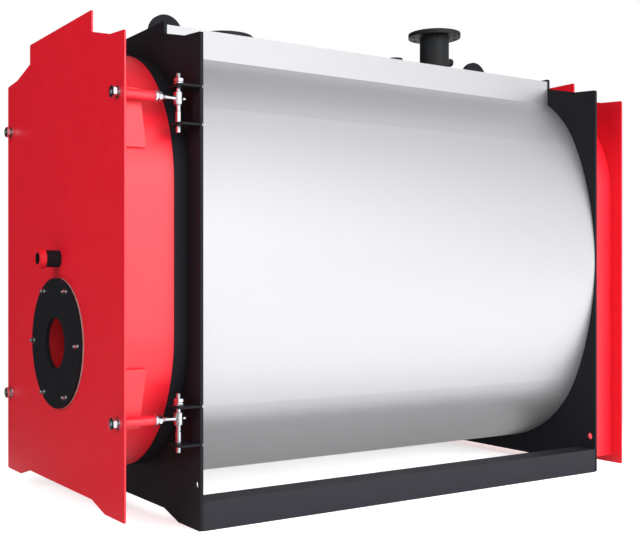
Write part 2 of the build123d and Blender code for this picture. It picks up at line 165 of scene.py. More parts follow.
def glow(tree, strength):
    """White light of a strength that is a number or a socket."""
    made = node(tree, "ShaderNodeEmission", Color=(1, 1, 1, 1))
    put(tree, strength, made.inputs["Strength"])
    return made


# %% [markdown]
# A studio for painted metal is mostly pale: a pale floor, a grey ceiling, and one broad soft screen
# on the side that should shine. What the eye reads as gloss is the picture of that room in the
# surface, so the room is painted into the world by direction, with the screen to the right of the
# boiler. Photographers also hang a black flag where a flat face should keep a deep colour, and a
# white card where small round parts should sparkle. Here the door mirrors the flag and the hinge
# pins mirror the card, so only mirrored rays meet them. The camera and glass see plain white.

# %% World
world = bpy.data.worlds.new("studio")
bpy.context.scene.world = world
world.use_nodes = True
sky = world.node_tree
sky.nodes.clear()
direction = node(sky, "ShaderNodeSeparateXYZ")
sky.links.new(node(sky, "ShaderNodeTexCoord").outputs["Generated"], direction.inputs[0])
to_right = direction.outputs["X"]
to_back = direction.outputs["Y"]
upward = direction.outputs["Z"]

screen_middle = math.radians(5)
screen_edges = (math.radians(28), math.radians(46))
screen_top = (0.68, 0.84)
screen_strength = 0.96
turn = math_of(sky, "ARCTAN2", to_back, to_right)
off_middle = math_of(sky, "ABSOLUTE", math_of(sky, "SUBTRACT", turn, screen_middle))
across = eased(sky, off_middle, *screen_edges, 1.0, 0.0)
below_top = eased(sky, upward, *screen_top, 1.0, 0.0)
screen = product(sky, across, below_top, screen_strength)

ceiling_span = (0.0, 0.75)
ceiling_glow = (0.53, 0.36)
ceiling = eased(sky, upward, *ceiling_span, *ceiling_glow)
print("screen", screen_strength, "ceiling", ceiling_glow)

# %% Flag, card and the left side
left_span = (-0.5, 0.3)
lit_on_left = 0.05
mirrored_on_left = 0.75
flag_middle = 200
flag_edges = (58, 24)
flag_share = 0.04
card_middle = -50
card_edges = (34, 22)
card_share = 1.85
room_tint = (0.98, 0.985, 1.0, 1)


def patch(middle, edges, share):
    """A round patch of the room, in compass degrees, where the ceiling keeps only a share."""
    angle = math.radians(middle)
    towards = math_of(sky, "ADD", math_of(sky, "MULTIPLY", to_right, math.cos(angle)),
                      math_of(sky, "MULTIPLY", to_back, math.sin(angle)))
    outer, inner = (math.cos(math.radians(edge)) for edge in edges)
    return eased(sky, towards, outer, inner, 1.0, share)


lit_share = eased(sky, to_right, *left_span, lit_on_left, 1.0)
mirrored_share = product(sky, patch(flag_middle, flag_edges, flag_share),
                         patch(card_middle, card_edges, card_share),
                         eased(sky, to_right, *left_span, mirrored_on_left, 1.0))
seen_rays, mirrored_rays = kinds_of_rays(sky)
share = node(sky, "ShaderNodeMix", data_type="FLOAT")
sky.links.new(mirrored_rays, share.inputs["Factor"])
sky.links.new(lit_share, share.inputs["A"])
sky.links.new(mirrored_share, share.inputs["B"])
room = math_of(sky, "ADD", math_of(sky, "MULTIPLY", ceiling, share.outputs["Result"]), screen)
room_sky = node(sky, "ShaderNodeBackground", Color=room_tint)
sky.links.new(room, room_sky.inputs["Strength"])
white_sky = node(sky, "ShaderNodeBackground", Color=(1, 1, 1, 1), Strength=1.0)
sky_out = node(sky, "ShaderNodeOutputWorld")
sky.links.new(either(sky, seen_rays, room_sky, white_sky).outputs[0], sky_out.inputs[0])
print("world nodes", len(sky.nodes))

# %% [markdown]
# The lamps give the paint its light and the rails their shadow: a strong one on the right, a weaker
# one in front, and two fills, so that the left and the back aren't black when the boiler is turned.
# They are left out of reflections, because the screen already stands there.

# %% Lamps
lamp_target = Vector((0, 0, 0.9))


def soft_lamp(name, place, size, power):
    """A rectangular area lamp that faces the boiler and isn't mirrored in it."""
    deselect()
    bpy.ops.object.light_add(type="AREA", location=place)
    lamp = bpy.context.object
    lamp.name = name
    facing = lamp_target - Vector(place)
    lamp.rotation_euler = facing.to_track_quat("-Z", "Y").to_euler()
    lamp.data.shape = "RECTANGLE"
    lamp.data.size, lamp.data.size_y = size
    lamp.data.energy = power
    lamp.visible_glossy = False
    print(name, power, "W")


large_lamp = (5.0, 3.0)
small_lamp = (4.0, 2.5)
soft_lamp("side_lamp", (6.0, 1.0, 2.4), large_lamp, 420)
soft_lamp("front_lamp", (1.5, -6.5, 3.4), small_lamp, 176)
soft_lamp("left_fill", (-6.0, 1.6, 2.8), large_lamp, 130)
soft_lamp("back_fill", (-1.5, 6.5, 3.2), small_lamp, 130)

# %% [markdown]
# The floor is a pale sheet that takes a soft shadow under the rails. Far from the boiler it has to
# melt into the white backdrop, so the camera sees it turn to plain white with distance. In gloss it
# is a part of the room, with painted shade: it grows brighter away from the rails, so that its
# dimness near them is a painted shadow of the boiler, and it is dimmer ahead of the door, most of
# all on the left, where the flag hangs.

# %% Floor
floor_size = 60.0
floor_tone = (0.94, 0.94, 0.94, 1)
floor_roughness = 0.8


def new_material(name):
    """A new material with its node tree and its shader."""
    material = bpy.data.materials.new(name)
    material.use_nodes = True
    return material, material.node_tree, material.node_tree.nodes["Principled BSDF"]


deselect()
bpy.ops.mesh.primitive_plane_add(size=floor_size, location=(0, 0, 0))
floor = bpy.context.object
floor.name = "studio_floor"
floor_paint, floor_tree, floor_shader = new_material("floor_paint")
floor_shader.inputs["Base Color"].default_value = floor_tone
floor_shader.inputs["Roughness"].default_value = floor_roughness
floor.data.materials.append(floor_paint)
print("floor", floor_size, "m")

# %% Floor as the camera sees it
footprint = (0.6, 1.2)
near_strength = 0.62
melting = (0.2, 1.6)
floor_place = node(floor_tree, "ShaderNodeSeparateXYZ")
floor_tree.links.new(node(floor_tree, "ShaderNodeTexCoord").outputs["Object"], floor_place.inputs[0])
floor_x = floor_place.outputs["X"]
floor_y = floor_place.outputs["Y"]
squares = []
for along, half in zip((floor_x, floor_y), footprint):
    beyond = math_of(floor_tree, "SUBTRACT", math_of(floor_tree, "ABSOLUTE", along), half)
    reach = math_of(floor_tree, "MAXIMUM", beyond, 0.0)
    squares.append(math_of(floor_tree, "MULTIPLY", reach, reach))
away = math_of(floor_tree, "SQRT", math_of(floor_tree, "ADD", *squares))
near_floor = node(floor_tree, "ShaderNodeAddShader")
floor_tree.links.new(floor_shader.outputs[0], near_floor.inputs[0])
floor_tree.links.new(glow(floor_tree, near_strength).outputs[0], near_floor.inputs[1])
seen_floor = either(floor_tree, eased(floor_tree, away, *melting), near_floor, glow(floor_tree, 1.0))
print("shadow fades from", melting[0], "to", melting[1], "m")

# %% Floor as gloss sees it
side_span = (0.40, 1.05)
side_strength = (0.36, 1.26)
front_span = (-2.2, -1.1)
front_share = 0.2
flagged_y = (-1.25, -1.5)
flagged_x = (0.8, 0.2)
flagged_share = 0.15
# Painted shade: in reflections the floor is dimmer near the rails, where the boiler would shade it, and dimmer
# ahead of the door and at its left front, like the flag.
beside = ramped(floor_tree, math_of(floor_tree, "ABSOLUTE", floor_x), *side_span, *side_strength)
ahead = eased(floor_tree, floor_y, *front_span, front_share, 1.0)
before_door = product(floor_tree, eased(floor_tree, floor_y, *flagged_y),
                      eased(floor_tree, floor_x, *flagged_x))
kept = ramped(floor_tree, before_door, 0.0, 1.0, 1.0, flagged_share)
mirrored_floor = glow(floor_tree, product(floor_tree, beside, ahead, kept))
floor_seen_rays, floor_mirrored_rays = kinds_of_rays(floor_tree)
straight_floor = either(floor_tree, floor_seen_rays, floor_shader, seen_floor)
whole_floor = either(floor_tree, floor_mirrored_rays, straight_floor, mirrored_floor)
floor_tree.links.new(whole_floor.outputs[0], floor_tree.nodes["Material Output"].inputs[0])
print("floor nodes", len(floor_tree.nodes))

# %% [markdown]
# Several finishes below share their effects: the skin of sprayed powder, the grain of rolled sheet,
# the cloudiness of bare or plated metal, and the grains of a cast mineral. Each of these is a node
# group with named sockets, built once and placed in every material with that material's own
# values. The helpers here make a group, read the place on the piece, and turn noise into tone,
# bump and softened edges.

# %% Group helpers
FLOAT = "NodeSocketFloat"
COLOUR = "NodeSocketColor"
VECTOR = "NodeSocketVector"
FINISH_OUTPUTS = [("Colour", COLOUR), ("Roughness", FLOAT), ("Normal", VECTOR)]


def new_group(name, inputs, outputs):
    """A shader group with named sockets, and its input and output nodes."""
    tree = bpy.data.node_groups.new(name, "ShaderNodeTree")
    for label, kind, value in inputs:
        socket = tree.interface.new_socket(name=label, in_out="INPUT", socket_type=kind)
        socket.default_value = value
    for label, kind in outputs:
        tree.interface.new_socket(name=label, in_out="OUTPUT", socket_type=kind)
    return tree, tree.nodes.new("NodeGroupInput").outputs, tree.nodes.new("NodeGroupOutput")


def give(tree, out, **results):
    """Links a group's results to its outputs."""
    for label, result in results.items():
        tree.links.new(result, out.inputs[label])


def object_place(tree, scale=(1, 1, 1)):
    """Object coordinates, stretched by a scale."""
    mapping = node(tree, "ShaderNodeMapping", Scale=scale)
    tree.links.new(node(tree, "ShaderNodeTexCoord").outputs["Object"], mapping.inputs["Vector"])
    return mapping.outputs[0]


def noise(tree, place, scale, detail=3.0, roughness=0.5):
    """A noise of 0 to 1. Its scale is a number or a socket."""
    made = node(tree, "ShaderNodeTexNoise", Detail=detail, Roughness=roughness)
    put(tree, scale, made.inputs["Scale"])
    tree.links.new(place, made.inputs["Vector"])
    return made.outputs["Fac"]


def scaled(tree, source, low, high):
    """A value from 0 to 1 brought to a new range."""
    return ramped(tree, source, 0.0, 1.0, low, high)


def shaded(tree, colour, factor):
    """A colour multiplied by a grey factor."""
    made = node(tree, "ShaderNodeMix", data_type="RGBA", blend_type="MULTIPLY")
    made.inputs["Factor"].default_value = 1.0
    tree.links.new(colour, made.inputs["A"])
    tree.links.new(factor, made.inputs["B"])
    return made.outputs["Result"]


def blended(tree, factor, dark, light):
    """A colour between a dark and a light one, each a triple or a socket."""
    made = node(tree, "ShaderNodeMix", data_type="RGBA")
    for label, colour in (("A", dark), ("B", light)):
        if isinstance(colour, tuple):
            made.inputs[label].default_value = (*colour, 1)
        else:
            tree.links.new(colour, made.inputs[label])
    tree.links.new(factor, made.inputs["Factor"])
    return made.outputs["Result"]


def bumped(tree, height, distance, strength, before=None):
    """The normal of a bump, over an earlier normal if there is one."""
    made = node(tree, "ShaderNodeBump")
    put(tree, distance, made.inputs["Distance"])
    put(tree, strength, made.inputs["Strength"])
    tree.links.new(height, made.inputs["Height"])
    if before is not None:
        tree.links.new(before, made.inputs["Normal"])
    return made.outputs[0]


def soft_edge(tree, radius):
    """The normal with sharp edges rounded in the shading."""
    made = node(tree, "ShaderNodeBevel", samples=4)
    put(tree, radius, made.inputs["Radius"])
    return made.outputs[0]


def finish(name, group, values, shader_values):
    """A material with one effect group before its shader, and its own values in both."""
    material, tree, shader = new_material(name)
    for label, value in shader_values.items():
        shader.inputs[label].default_value = value
    effect = node(tree, "ShaderNodeGroup", node_tree=group)
    for label, value in values.items():
        effect.inputs[label].default_value = value
    for label, socket in (("Colour", "Base Color"), ("Roughness", "Roughness"), ("Normal", "Normal")):
        if label in effect.outputs:
            tree.links.new(effect.outputs[label], shader.inputs[socket])
    return material


# %% [markdown]
# Powder coat is sprayed on as dust and baked, which leaves a very fine pebbling and a tone that
# drifts a little over a large plate. Cut plate edges are never knife sharp, so the skin also rounds
# the shading at the edges. The door is a satin red, the plates a dull black, and the rails a slightly
# greyer black, which is painted light: the rails face the light, and their black is lightened for it.

# %% Powder coat


def powder_skin():
    """Sprayed powder: pebbled, drifting a little in tone, with softened edges."""
    drift_scale, gloss_scale, pebble_scale = 2.6, 9.0, 420.0
    gloss_range = (0.85, 1.15)
    pebble_height = 0.0004
    tree, given, out = new_group(
        "powder skin",
        [("Colour", COLOUR, (0.5, 0.5, 0.5, 1)), ("Roughness", FLOAT, 0.4),
         ("Pebble", FLOAT, 0.1), ("Drift", FLOAT, 0.05), ("Edge radius", FLOAT, 0.0012)],
        FINISH_OUTPUTS)
    place = object_place(tree)
    lowest = math_of(tree, "SUBTRACT", 1.0, given["Drift"])
    tone = scaled(tree, noise(tree, place, drift_scale), lowest, 1.0)
    uneven = scaled(tree, noise(tree, place, gloss_scale), *gloss_range)
    give(tree, out,
         Colour=shaded(tree, given["Colour"], tone),
         Roughness=math_of(tree, "MULTIPLY", uneven, given["Roughness"]),
         Normal=bumped(tree, noise(tree, place, pebble_scale, 2.0), pebble_height,
                       given["Pebble"], soft_edge(tree, given["Edge radius"])))
    return tree


def powder_paint(name, colour, roughness, shine, pebble=0.1):
    """A powder-coated steel finish of one colour."""
    return finish(name, powder_group,
                  {"Colour": (*colour, 1), "Roughness": roughness, "Pebble": pebble},
                  {"Specular IOR Level": shine})


powder_group = powder_skin()
red_paint = powder_paint("red_powder", (0.78, 0.008, 0.023), 0.40, 0.9)
black_paint = powder_paint("black_powder", (0.0150, 0.0152, 0.0186), 0.50, 0.06)
# The rails' black is painted light: the same black powder, made greyer because the rails face the light.
lightened_rail_black = powder_paint("rail_powder_painted_light", (0.022, 0.022, 0.028), 0.50, 0.2)
pipe_paint = powder_paint("pipe_primer", (0.010, 0.011, 0.012), 0.5, 0.28, pebble=0.2)
throat_paint = powder_paint("throat_red", (0.42, 0.008, 0.012), 0.6, 0.3)
print("group", powder_group.name, "paints", red_paint.name, black_paint.name)

# %% [markdown]
# The casing and the cover on top are thin silver sheet. Rolled sheet has a fine grain along the
# roll, and large panels are never quite flat. The grain is a noise squeezed in one direction, and
# the waviness is a broad and very low bump.

# %% Rolled sheet


def rolled_grain():
    """Sheet metal: a fine grain in tone and gloss, over a slow waviness."""
    squeeze = (900, 12, 12)
    grain_tone, grain_gloss = (0.97, 1.0), (-0.04, 0.04)
    grain_height, grain_strength = 0.0002, 0.05
    wave_scale, wave_height = 1.1, 0.01
    tree, given, out = new_group(
        "rolled grain",
        [("Colour", COLOUR, (0.8, 0.8, 0.8, 1)), ("Roughness", FLOAT, 0.4), ("Wave", FLOAT, 0.04)],
        FINISH_OUTPUTS)
    grain = noise(tree, object_place(tree, squeeze), 1.0, 4.0, 0.6)
    wave = noise(tree, object_place(tree), wave_scale, 1.0)
    slow = bumped(tree, wave, wave_height, given["Wave"])
    give(tree, out,
         Colour=shaded(tree, given["Colour"], scaled(tree, grain, *grain_tone)),
         Roughness=math_of(tree, "ADD", scaled(tree, grain, *grain_gloss), given["Roughness"]),
         Normal=bumped(tree, grain, grain_height, grain_strength, slow))
    return tree


def rolled_sheet(name, colour, roughness, wave):
    """Silver sheet of one colour."""
    return finish(name, grain_group,
                  {"Colour": (*colour, 1), "Roughness": roughness, "Wave": wave},
                  {"Metallic": 0.9})


grain_group = rolled_grain()
casing_metal = rolled_sheet("casing_sheet", (0.76, 0.76, 0.78), 0.47, 0.04)
cover_metal = rolled_sheet("cover_sheet", (0.72, 0.72, 0.74), 0.45, 0.03)
print("sheets", casing_metal.name, cover_metal.name)

# %% [markdown]
# Hinge pins, rods and nuts are bright zinc: a mirror-like plating with a faint blue, slightly
# uneven where it was dipped. The same cloudiness, coarser and duller, makes the bare mill steel of
# the tube plates and tubes. The Scale socket sets how coarse it is.

# %% Zinc and mill steel


def cloudy_metal():
    """Bare or plated metal, uneven in gloss and tone, with softened edges."""
    gloss_range = (0.7, 1.4)
    pits_per_cloud, pit_height, edge_radius = 8.0, 0.0003, 0.0006
    tree, given, out = new_group(
        "cloudy metal",
        [("Colour", COLOUR, (0.8, 0.8, 0.8, 1)), ("Roughness", FLOAT, 0.3), ("Scale", FLOAT, 20.0),
         ("Shift", FLOAT, 0.1), ("Bump", FLOAT, 0.1)],
        FINISH_OUTPUTS)
    place = object_place(tree)
    cloud = noise(tree, place, given["Scale"], 4.0)
    tone = scaled(tree, cloud, math_of(tree, "SUBTRACT", 1.0, given["Shift"]), 1.0)
    pits = noise(tree, place, math_of(tree, "MULTIPLY", given["Scale"], pits_per_cloud), 3.0)
    give(tree, out,
         Colour=shaded(tree, given["Colour"], tone),
         Roughness=product(tree, scaled(tree, cloud, *gloss_range), given["Roughness"]),
         Normal=bumped(tree, pits, pit_height, given["Bump"], soft_edge(tree, edge_radius)))
    return tree


def metal(name, colour, roughness, scale, shift, bump):
    """A bare or plated metal."""
    return finish(name, metal_group,
                  {"Colour": (*colour, 1), "Roughness": roughness, "Scale": scale,
                   "Shift": shift, "Bump": bump},
                  {"Metallic": 1.0})


metal_group = cloudy_metal()
zinc = metal("bright_zinc", (0.80, 0.81, 0.84), 0.20, 60.0, 0.08, 0.02)
bare_steel = metal("mill_steel", (0.20, 0.19, 0.185), 0.5, 7.0, 0.5, 0.25)
print("metals", zinc.name, bare_steel.name)

# %% [markdown]
# The door's lining is cast from a heat-proof mix with visible grains, the gasket behind the burner
# plate is pressed board, and the seal of the sight glass is pressed graphite, whose black lining of
# the bore is partly painted shade. All three are dull minerals in two tones, so they share one
# grainy effect.

# %% Lining, gasket board and graphite


def mineral_grain():
    """Grains and pores of a cast or pressed mineral, in two tones."""
    pores_per_grain = 5.0
    tree, given, out = new_group(
        "mineral grain",
        [("Colour", COLOUR, (0.6, 0.6, 0.6, 1)), ("Dark", COLOUR, (0.3, 0.3, 0.3, 1)),
         ("Scale", FLOAT, 40.0), ("Bump", FLOAT, 0.3), ("Depth", FLOAT, 0.001)],
        [("Colour", COLOUR), ("Normal", VECTOR)])
    place = object_place(tree)
    grains = noise(tree, place, given["Scale"], 6.0, 0.65)
    pores = noise(tree, place, math_of(tree, "MULTIPLY", given["Scale"], pores_per_grain), 4.0)
    give(tree, out,
         Colour=blended(tree, grains, given["Dark"], given["Colour"]),
         Normal=bumped(tree, pores, given["Depth"], given["Bump"]))
    return tree


def mineral(name, colour, dark, scale, bump, depth):
    """A dull mineral surface."""
    return finish(name, mineral_group,
                  {"Colour": (*colour, 1), "Dark": (*dark, 1), "Scale": scale,
                   "Bump": bump, "Depth": depth},
                  {"Roughness": 0.95})


mineral_group = mineral_grain()
gasket_board = mineral("gasket_board", (0.42, 0.40, 0.37), (0.30, 0.29, 0.27), 60.0, 0.2, 0.001)
lining_stone = mineral("cast_lining", (0.66, 0.58, 0.46), (0.42, 0.35, 0.27), 22.0, 0.5, 0.002)
graphite = mineral("pressed_graphite", (0.010, 0.010, 0.011), (0.004, 0.004, 0.004), 90.0, 0.3,
                   0.0005)
print("minerals", gasket_board.name, lining_stone.name, graphite.name)

# %% [markdown]
# The door closes on a braided glass rope, which is two sets of slanting strands, crossed. Two wave
# textures with opposite lean give those, and the higher of the two shows at each point. The sight
# glass is dark heat-proof glass with a thin haze on it.

# %% Rope and glass


def rope_weave(name):
    """Braided rope: two sets of slanting strands, crossed, darker where they lie low, as painted shade in the
    hollows.
    """
    strand_lean, strand_scale = 0.8, 55.0
    strand_height, strand_strength = 0.002, 0.7
    # The low parts of the braid get the darker colour, which is painted shade in the hollows between the strands.
    between, on_top = (0.30, 0.28, 0.24), (0.74, 0.72, 0.66)
    material, tree, shader = new_material(name)
    shader.inputs["Roughness"].default_value = 0.9
    place = object_place(tree)
    strands = []
    for lean in (strand_lean, -strand_lean):
        turned_place = node(tree, "ShaderNodeMapping", Rotation=(0, lean, 0))
        tree.links.new(place, turned_place.inputs["Vector"])
        wave = node(tree, "ShaderNodeTexWave", Scale=strand_scale, Distortion=0.5)
        tree.links.new(turned_place.outputs[0], wave.inputs["Vector"])
        strands.append(wave.outputs["Fac"])
    crossed = math_of(tree, "MAXIMUM", *strands)
    tree.links.new(blended(tree, crossed, between, on_top), shader.inputs["Base Color"])
    tree.links.new(bumped(tree, crossed, strand_height, strand_strength), shader.inputs["Normal"])
    return material


def heat_glass(name):
    """Dark glass with a thin haze."""
    haze_scale, haze_gloss = 60.0, (0.05, 0.2)
    clear, hazy = (0.03, 0.012, 0.012), (0.06, 0.02, 0.02)
    material, tree, shader = new_material(name)
    shader.inputs["Transmission Weight"].default_value = 0.6
    shader.inputs["IOR"].default_value = 1.5
    haze = noise(tree, object_place(tree), haze_scale)
    tree.links.new(blended(tree, haze, clear, hazy), shader.inputs["Base Color"])
    tree.links.new(scaled(tree, haze, *haze_gloss), shader.inputs["Roughness"])
    return material


seal_rope = rope_weave("seal_rope")
glass = heat_glass("sight_glass")
print("finishes", len(bpy.data.materials))

# %% [markdown]
# The record says which finish slot each CAD node has, so dressing the frame is one loop. Two finishes
# differ from their slot: the cover is a duller sheet than the casing, and the rails a greyer black, which is
# painted light.

# %% Dress the frame
finish_of_slot = {
    "red_paint": red_paint,
    "black_paint": black_paint,
    "pipe_paint": pipe_paint,
    "casing_metal": casing_metal,
    "zinc_steel": zinc,
    "bare_steel": bare_steel,
    "lining": lining_stone,
    "gasket_board": gasket_board,
    "throat_paint": throat_paint,
    "seal_rope": seal_rope,
    "sight_glass": glass,
}
slot_of_node = {row["node"]: row["material_slot"] for row in frame["record"]["subparts"]}
for name, piece in nodes.items():
    piece.data.materials.clear()
    piece.data.materials.append(finish_of_slot[slot_of_node[name]])
nodes["top_cover"].data.materials[0] = cover_metal
# The rails get the greyer black, which is painted light for their lit faces.
for side in ("right", "left"):
    nodes[side + "_rail"].data.materials[0] = lightened_rail_black
print("dressed", len(nodes), "nodes")

# %% [markdown]
# Pins, rods, nuts and washers are fasteners turned on a lathe or pressed from bar. They could be
# booleans of plain cylinders, but a lathe profile is quicker and gives every chamfer and thread
# groove at once: single points are extruded into an outline, which is then spun round an axis.
# A nut starts as a six-sided bar, and a chamfered disc cuts its corners, which leaves the
# curved line that real nuts show on each flat.

# %% Placing helpers
along_y = (-math.pi / 2, 0, 0)
along_x = (0, math.pi / 2, 0)


def set_in_place(piece, place, turn=(0, 0, 0)):
    """Turns and moves a piece, and puts both into its mesh."""
    deselect()
    piece.select_set(True)
    bpy.context.view_layer.objects.active = piece
    piece.location = place
    piece.rotation_euler = turn
    bpy.ops.object.transform_apply(location=True, rotation=True, scale=True)
    return piece


def copy_of(piece, name):
    """A copy with its own mesh."""
    made = piece.copy()
    made.data = piece.data.copy()
    made.name = name
    bpy.context.scene.collection.objects.link(made)
    return made


def copied_to(places, piece, name):
    """Copies of a piece at several places. The piece itself goes."""
    made = [set_in_place(copy_of(piece, name), place) for place in places]
    bpy.data.objects.remove(piece)
    return made


def joined(name, pieces):
    """One piece from several, which keep their places."""
    deselect()
    for piece in pieces:
        piece.select_set(True)
    bpy.context.view_layer.objects.active = pieces[0]
    bpy.ops.object.join()
    pieces[0].name = name
    return pieces[0]


# %% Lathe helpers
lathe_sides = 36
doubles_distance = 0.00001
washer_edge = 0.0006
thread_depth_share = 0.55


def turned(name, profile, sides=lathe_sides):
    """Spins a profile of (radius, height) points round the Z axis."""
    deselect()
    bpy.ops.mesh.primitive_plane_add(size=0.01, location=(0, 0, 0))
    piece = bpy.context.object
    piece.name = name
    bpy.ops.object.mode_set(mode="EDIT")
    bpy.ops.mesh.select_all(action="SELECT")
    bpy.ops.mesh.merge(type="CENTER")
    first = profile[0]
    bpy.ops.transform.translate(value=(first[0], 0, first[1]))
    for before, after in zip(profile, profile[1:]):
        step = (after[0] - before[0], 0, after[1] - before[1])
        bpy.ops.mesh.extrude_vertices_move(TRANSFORM_OT_translate={"value": step})
    bpy.ops.mesh.select_all(action="SELECT")
    bpy.ops.mesh.spin(steps=sides, angle=2 * math.pi, center=(0, 0, 0), axis=(0, 0, 1))
    bpy.ops.mesh.select_all(action="SELECT")
    bpy.ops.mesh.remove_doubles(threshold=doubles_distance)
    bpy.ops.mesh.normals_make_consistent(inside=False)
    bpy.ops.object.mode_set(mode="OBJECT")
    return piece


def chamfered_ring(name, bore, outer, low, high, edge):
    """A turned ring with chamfered outer corners."""
    return turned(name, [
        (bore, low), (outer - edge, low), (outer, low + edge), (outer, high - edge),
        (outer - edge, high), (bore, high), (bore, low)])


def washer(name, outer, bore, thickness):
    """A flat washer that stands on z = 0."""
    return chamfered_ring(name, bore, outer, 0, thickness, washer_edge)


def thread(radius, start, end, pitch):
    """Profile points of a threaded stretch, crest and root in turn."""
    root = radius - thread_depth_share * pitch
    points = []
    for k in range(int((end - start) / pitch)):
        points.append((root, start + k * pitch))
        points.append((radius, start + (k + 0.5) * pitch))
    points.append((root, end))
    return points


# %% Nut and hand-over helpers
nut_face_share = 0.475
nut_corner_slope = math.tan(math.radians(30))
nut_sink = 0.0007
nut_bar_share = 0.999
nut_bar_length = 1.5
smooth_angle = math.radians(32)


def hex_nut(name, across_flats, height, bore):
    """A six-sided nut with turned-off corners and a countersunk bore."""
    corner = across_flats / math.sqrt(3)
    face = across_flats * nut_face_share
    drop = (corner - face) * nut_corner_slope
    disc = turned("nut_blank", [
        (bore, nut_sink), (bore + nut_sink, 0), (face, 0), (corner, drop), (corner, height - drop),
        (face, height), (bore + nut_sink, height), (bore, height - nut_sink), (bore, nut_sink)])
    deselect()
    bpy.ops.mesh.primitive_cylinder_add(vertices=6, radius=corner * nut_bar_share,
                                        depth=height * nut_bar_length, location=(0, 0, height / 2))
    nut = bpy.context.object
    nut.name = name
    bpy.ops.object.modifier_add(type="BOOLEAN")
    cut = nut.modifiers[-1]
    cut.operation = "INTERSECT"
    cut.object = disc
    bpy.ops.object.modifier_apply(modifier=cut.name)
    bpy.data.objects.remove(disc)
    return set_in_place(nut, (0, 0, 0))


def hand_over(piece, material, body, slot, *replaced):
    """Gives a piece its finish, smooth shading and body, and hides what it stands for. Its slot is not used."""
    piece.data.materials.clear()
    piece.data.materials.append(material)
    deselect()
    piece.select_set(True)
    bpy.context.view_layer.objects.active = piece
    bpy.ops.object.shade_smooth_by_angle(angle=smooth_angle)
    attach(piece, body)
    if replaced:
        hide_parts(*replaced)


# %% [markdown]
# The door hangs and closes on four ties, an upper and a lower one on each side. Their places come
# from the frame: the tubes' box gives the heights, and the joint gives the line of the pins. The
# left ones mirror the right ones.

# %% Places of the ties and the hinge
hinge_place = Vector(frame["joints"][0]["pos_m"])
tie_x = hinge_place.x
hinge_y = hinge_place.y
tie_tube_radius = 0.0175
tube_low, tube_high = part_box("right_tie_tubes")
tie_levels = {"lower": tube_low.z + tie_tube_radius, "upper": tube_high.z - tie_tube_radius}
tie_tube_back_y = tube_high.y
sides = {"right": 1, "left": -1}


def hand_over_at_ties(piece, name, y, body_of_side):
    """Hands over a bright copy at each tie, for the node of its side. The piece itself goes."""
    for side, sign in sides.items():
        for level, z in tie_levels.items():
            made = copy_of(piece, side + "_" + level + "_" + name)
            set_in_place(made, (sign * tie_x, y, z))
            hand_over(made, zinc, body_of_side[side], "zinc_steel", side + "_" + name + "s")
    print(name, len(piece.data.polygons), "faces")
    bpy.data.objects.remove(piece)


print("ties at", tie_x, [round(z, 3) for z in tie_levels.values()], "hinge y", round(hinge_y, 4))

# %% [markdown]
# Each tie is a bright rod through a red tube. A washer and nut hold it at the front of the door, a
# thick washer with two nuts at the back of the tube sets its length, and it ends in an upright eye
# that turns on the hinge pin. Only the ends that show are threaded.

# %% Tie rod, eye and stub
rod_radius = 0.008
rod_pitch = 0.002
rod_front_reach = 0.0205
front_thread = (0.0005, 0.0265)
front_shank = 0.028
rear_thread_length = 0.029
rear_shank_length = 0.030
thread_past_nuts = 0.006
rod_end_in_eye = 0.004
thread_run_out = 0.001
tip_chamfer = 0.0015
rear_washer_thickness = 0.008
rear_nut_height = 0.013
lock_gap = 0.0003

rod_front_y = door_front_y - rod_front_reach
rear_nut_y = tie_tube_back_y + rear_washer_thickness
rear_lock_nut_y = rear_nut_y + rear_nut_height + lock_gap
rod_length = hinge_y - rod_front_y
thread_end = rear_lock_nut_y + rear_nut_height - rod_front_y + thread_past_nuts
rod_profile = [(0, 0), (rod_radius - tip_chamfer, 0)]
rod_profile += thread(rod_radius, *front_thread, rod_pitch)
rod_profile += [(rod_radius, front_shank), (rod_radius, thread_end - rear_shank_length)]
rod_profile += thread(rod_radius, thread_end - rear_thread_length, thread_end, rod_pitch)
rod_profile += [(rod_radius, thread_end + thread_run_out),
                (rod_radius, rod_length - rod_end_in_eye), (0, rod_length - rod_end_in_eye)]
rod_bar = turned("rod_bar", rod_profile)
set_in_place(rod_bar, (0, rod_front_y, 0), along_y)

pin_radius = 0.009
chamfer_size = 0.001
eye_bore = pin_radius + 0.0003
eye_radius = 0.0165
eye_half_height = 0.022
eye = chamfered_ring("rod_eye", eye_bore, eye_radius, -eye_half_height, eye_half_height, chamfer_size)
set_in_place(eye, (0, hinge_y, 0))

stub_radius = 0.007
stub_reach = 0.0255
stub_root = eye_radius - 0.003
stub = turned("rod_stub", [
    (0, stub_root), (stub_radius, stub_root), (stub_radius, stub_reach - chamfer_size),
    (stub_radius - chamfer_size, stub_reach), (0, stub_reach)])
set_in_place(stub, (0, hinge_y, 0), along_y)
print("rod", round(rod_length, 4), "m, pitch", rod_pitch)

# %% Washers and nuts of the ties
rod_hole = rod_radius + 0.0004
front_washer_radius = 0.0215
front_washer_thickness = 0.004
front_nut_flats = 0.040
front_nut_height = 0.015
rear_washer_radius = 0.021
rear_nut_flats = 0.030
rear_lock_nut_turn = math.radians(11)

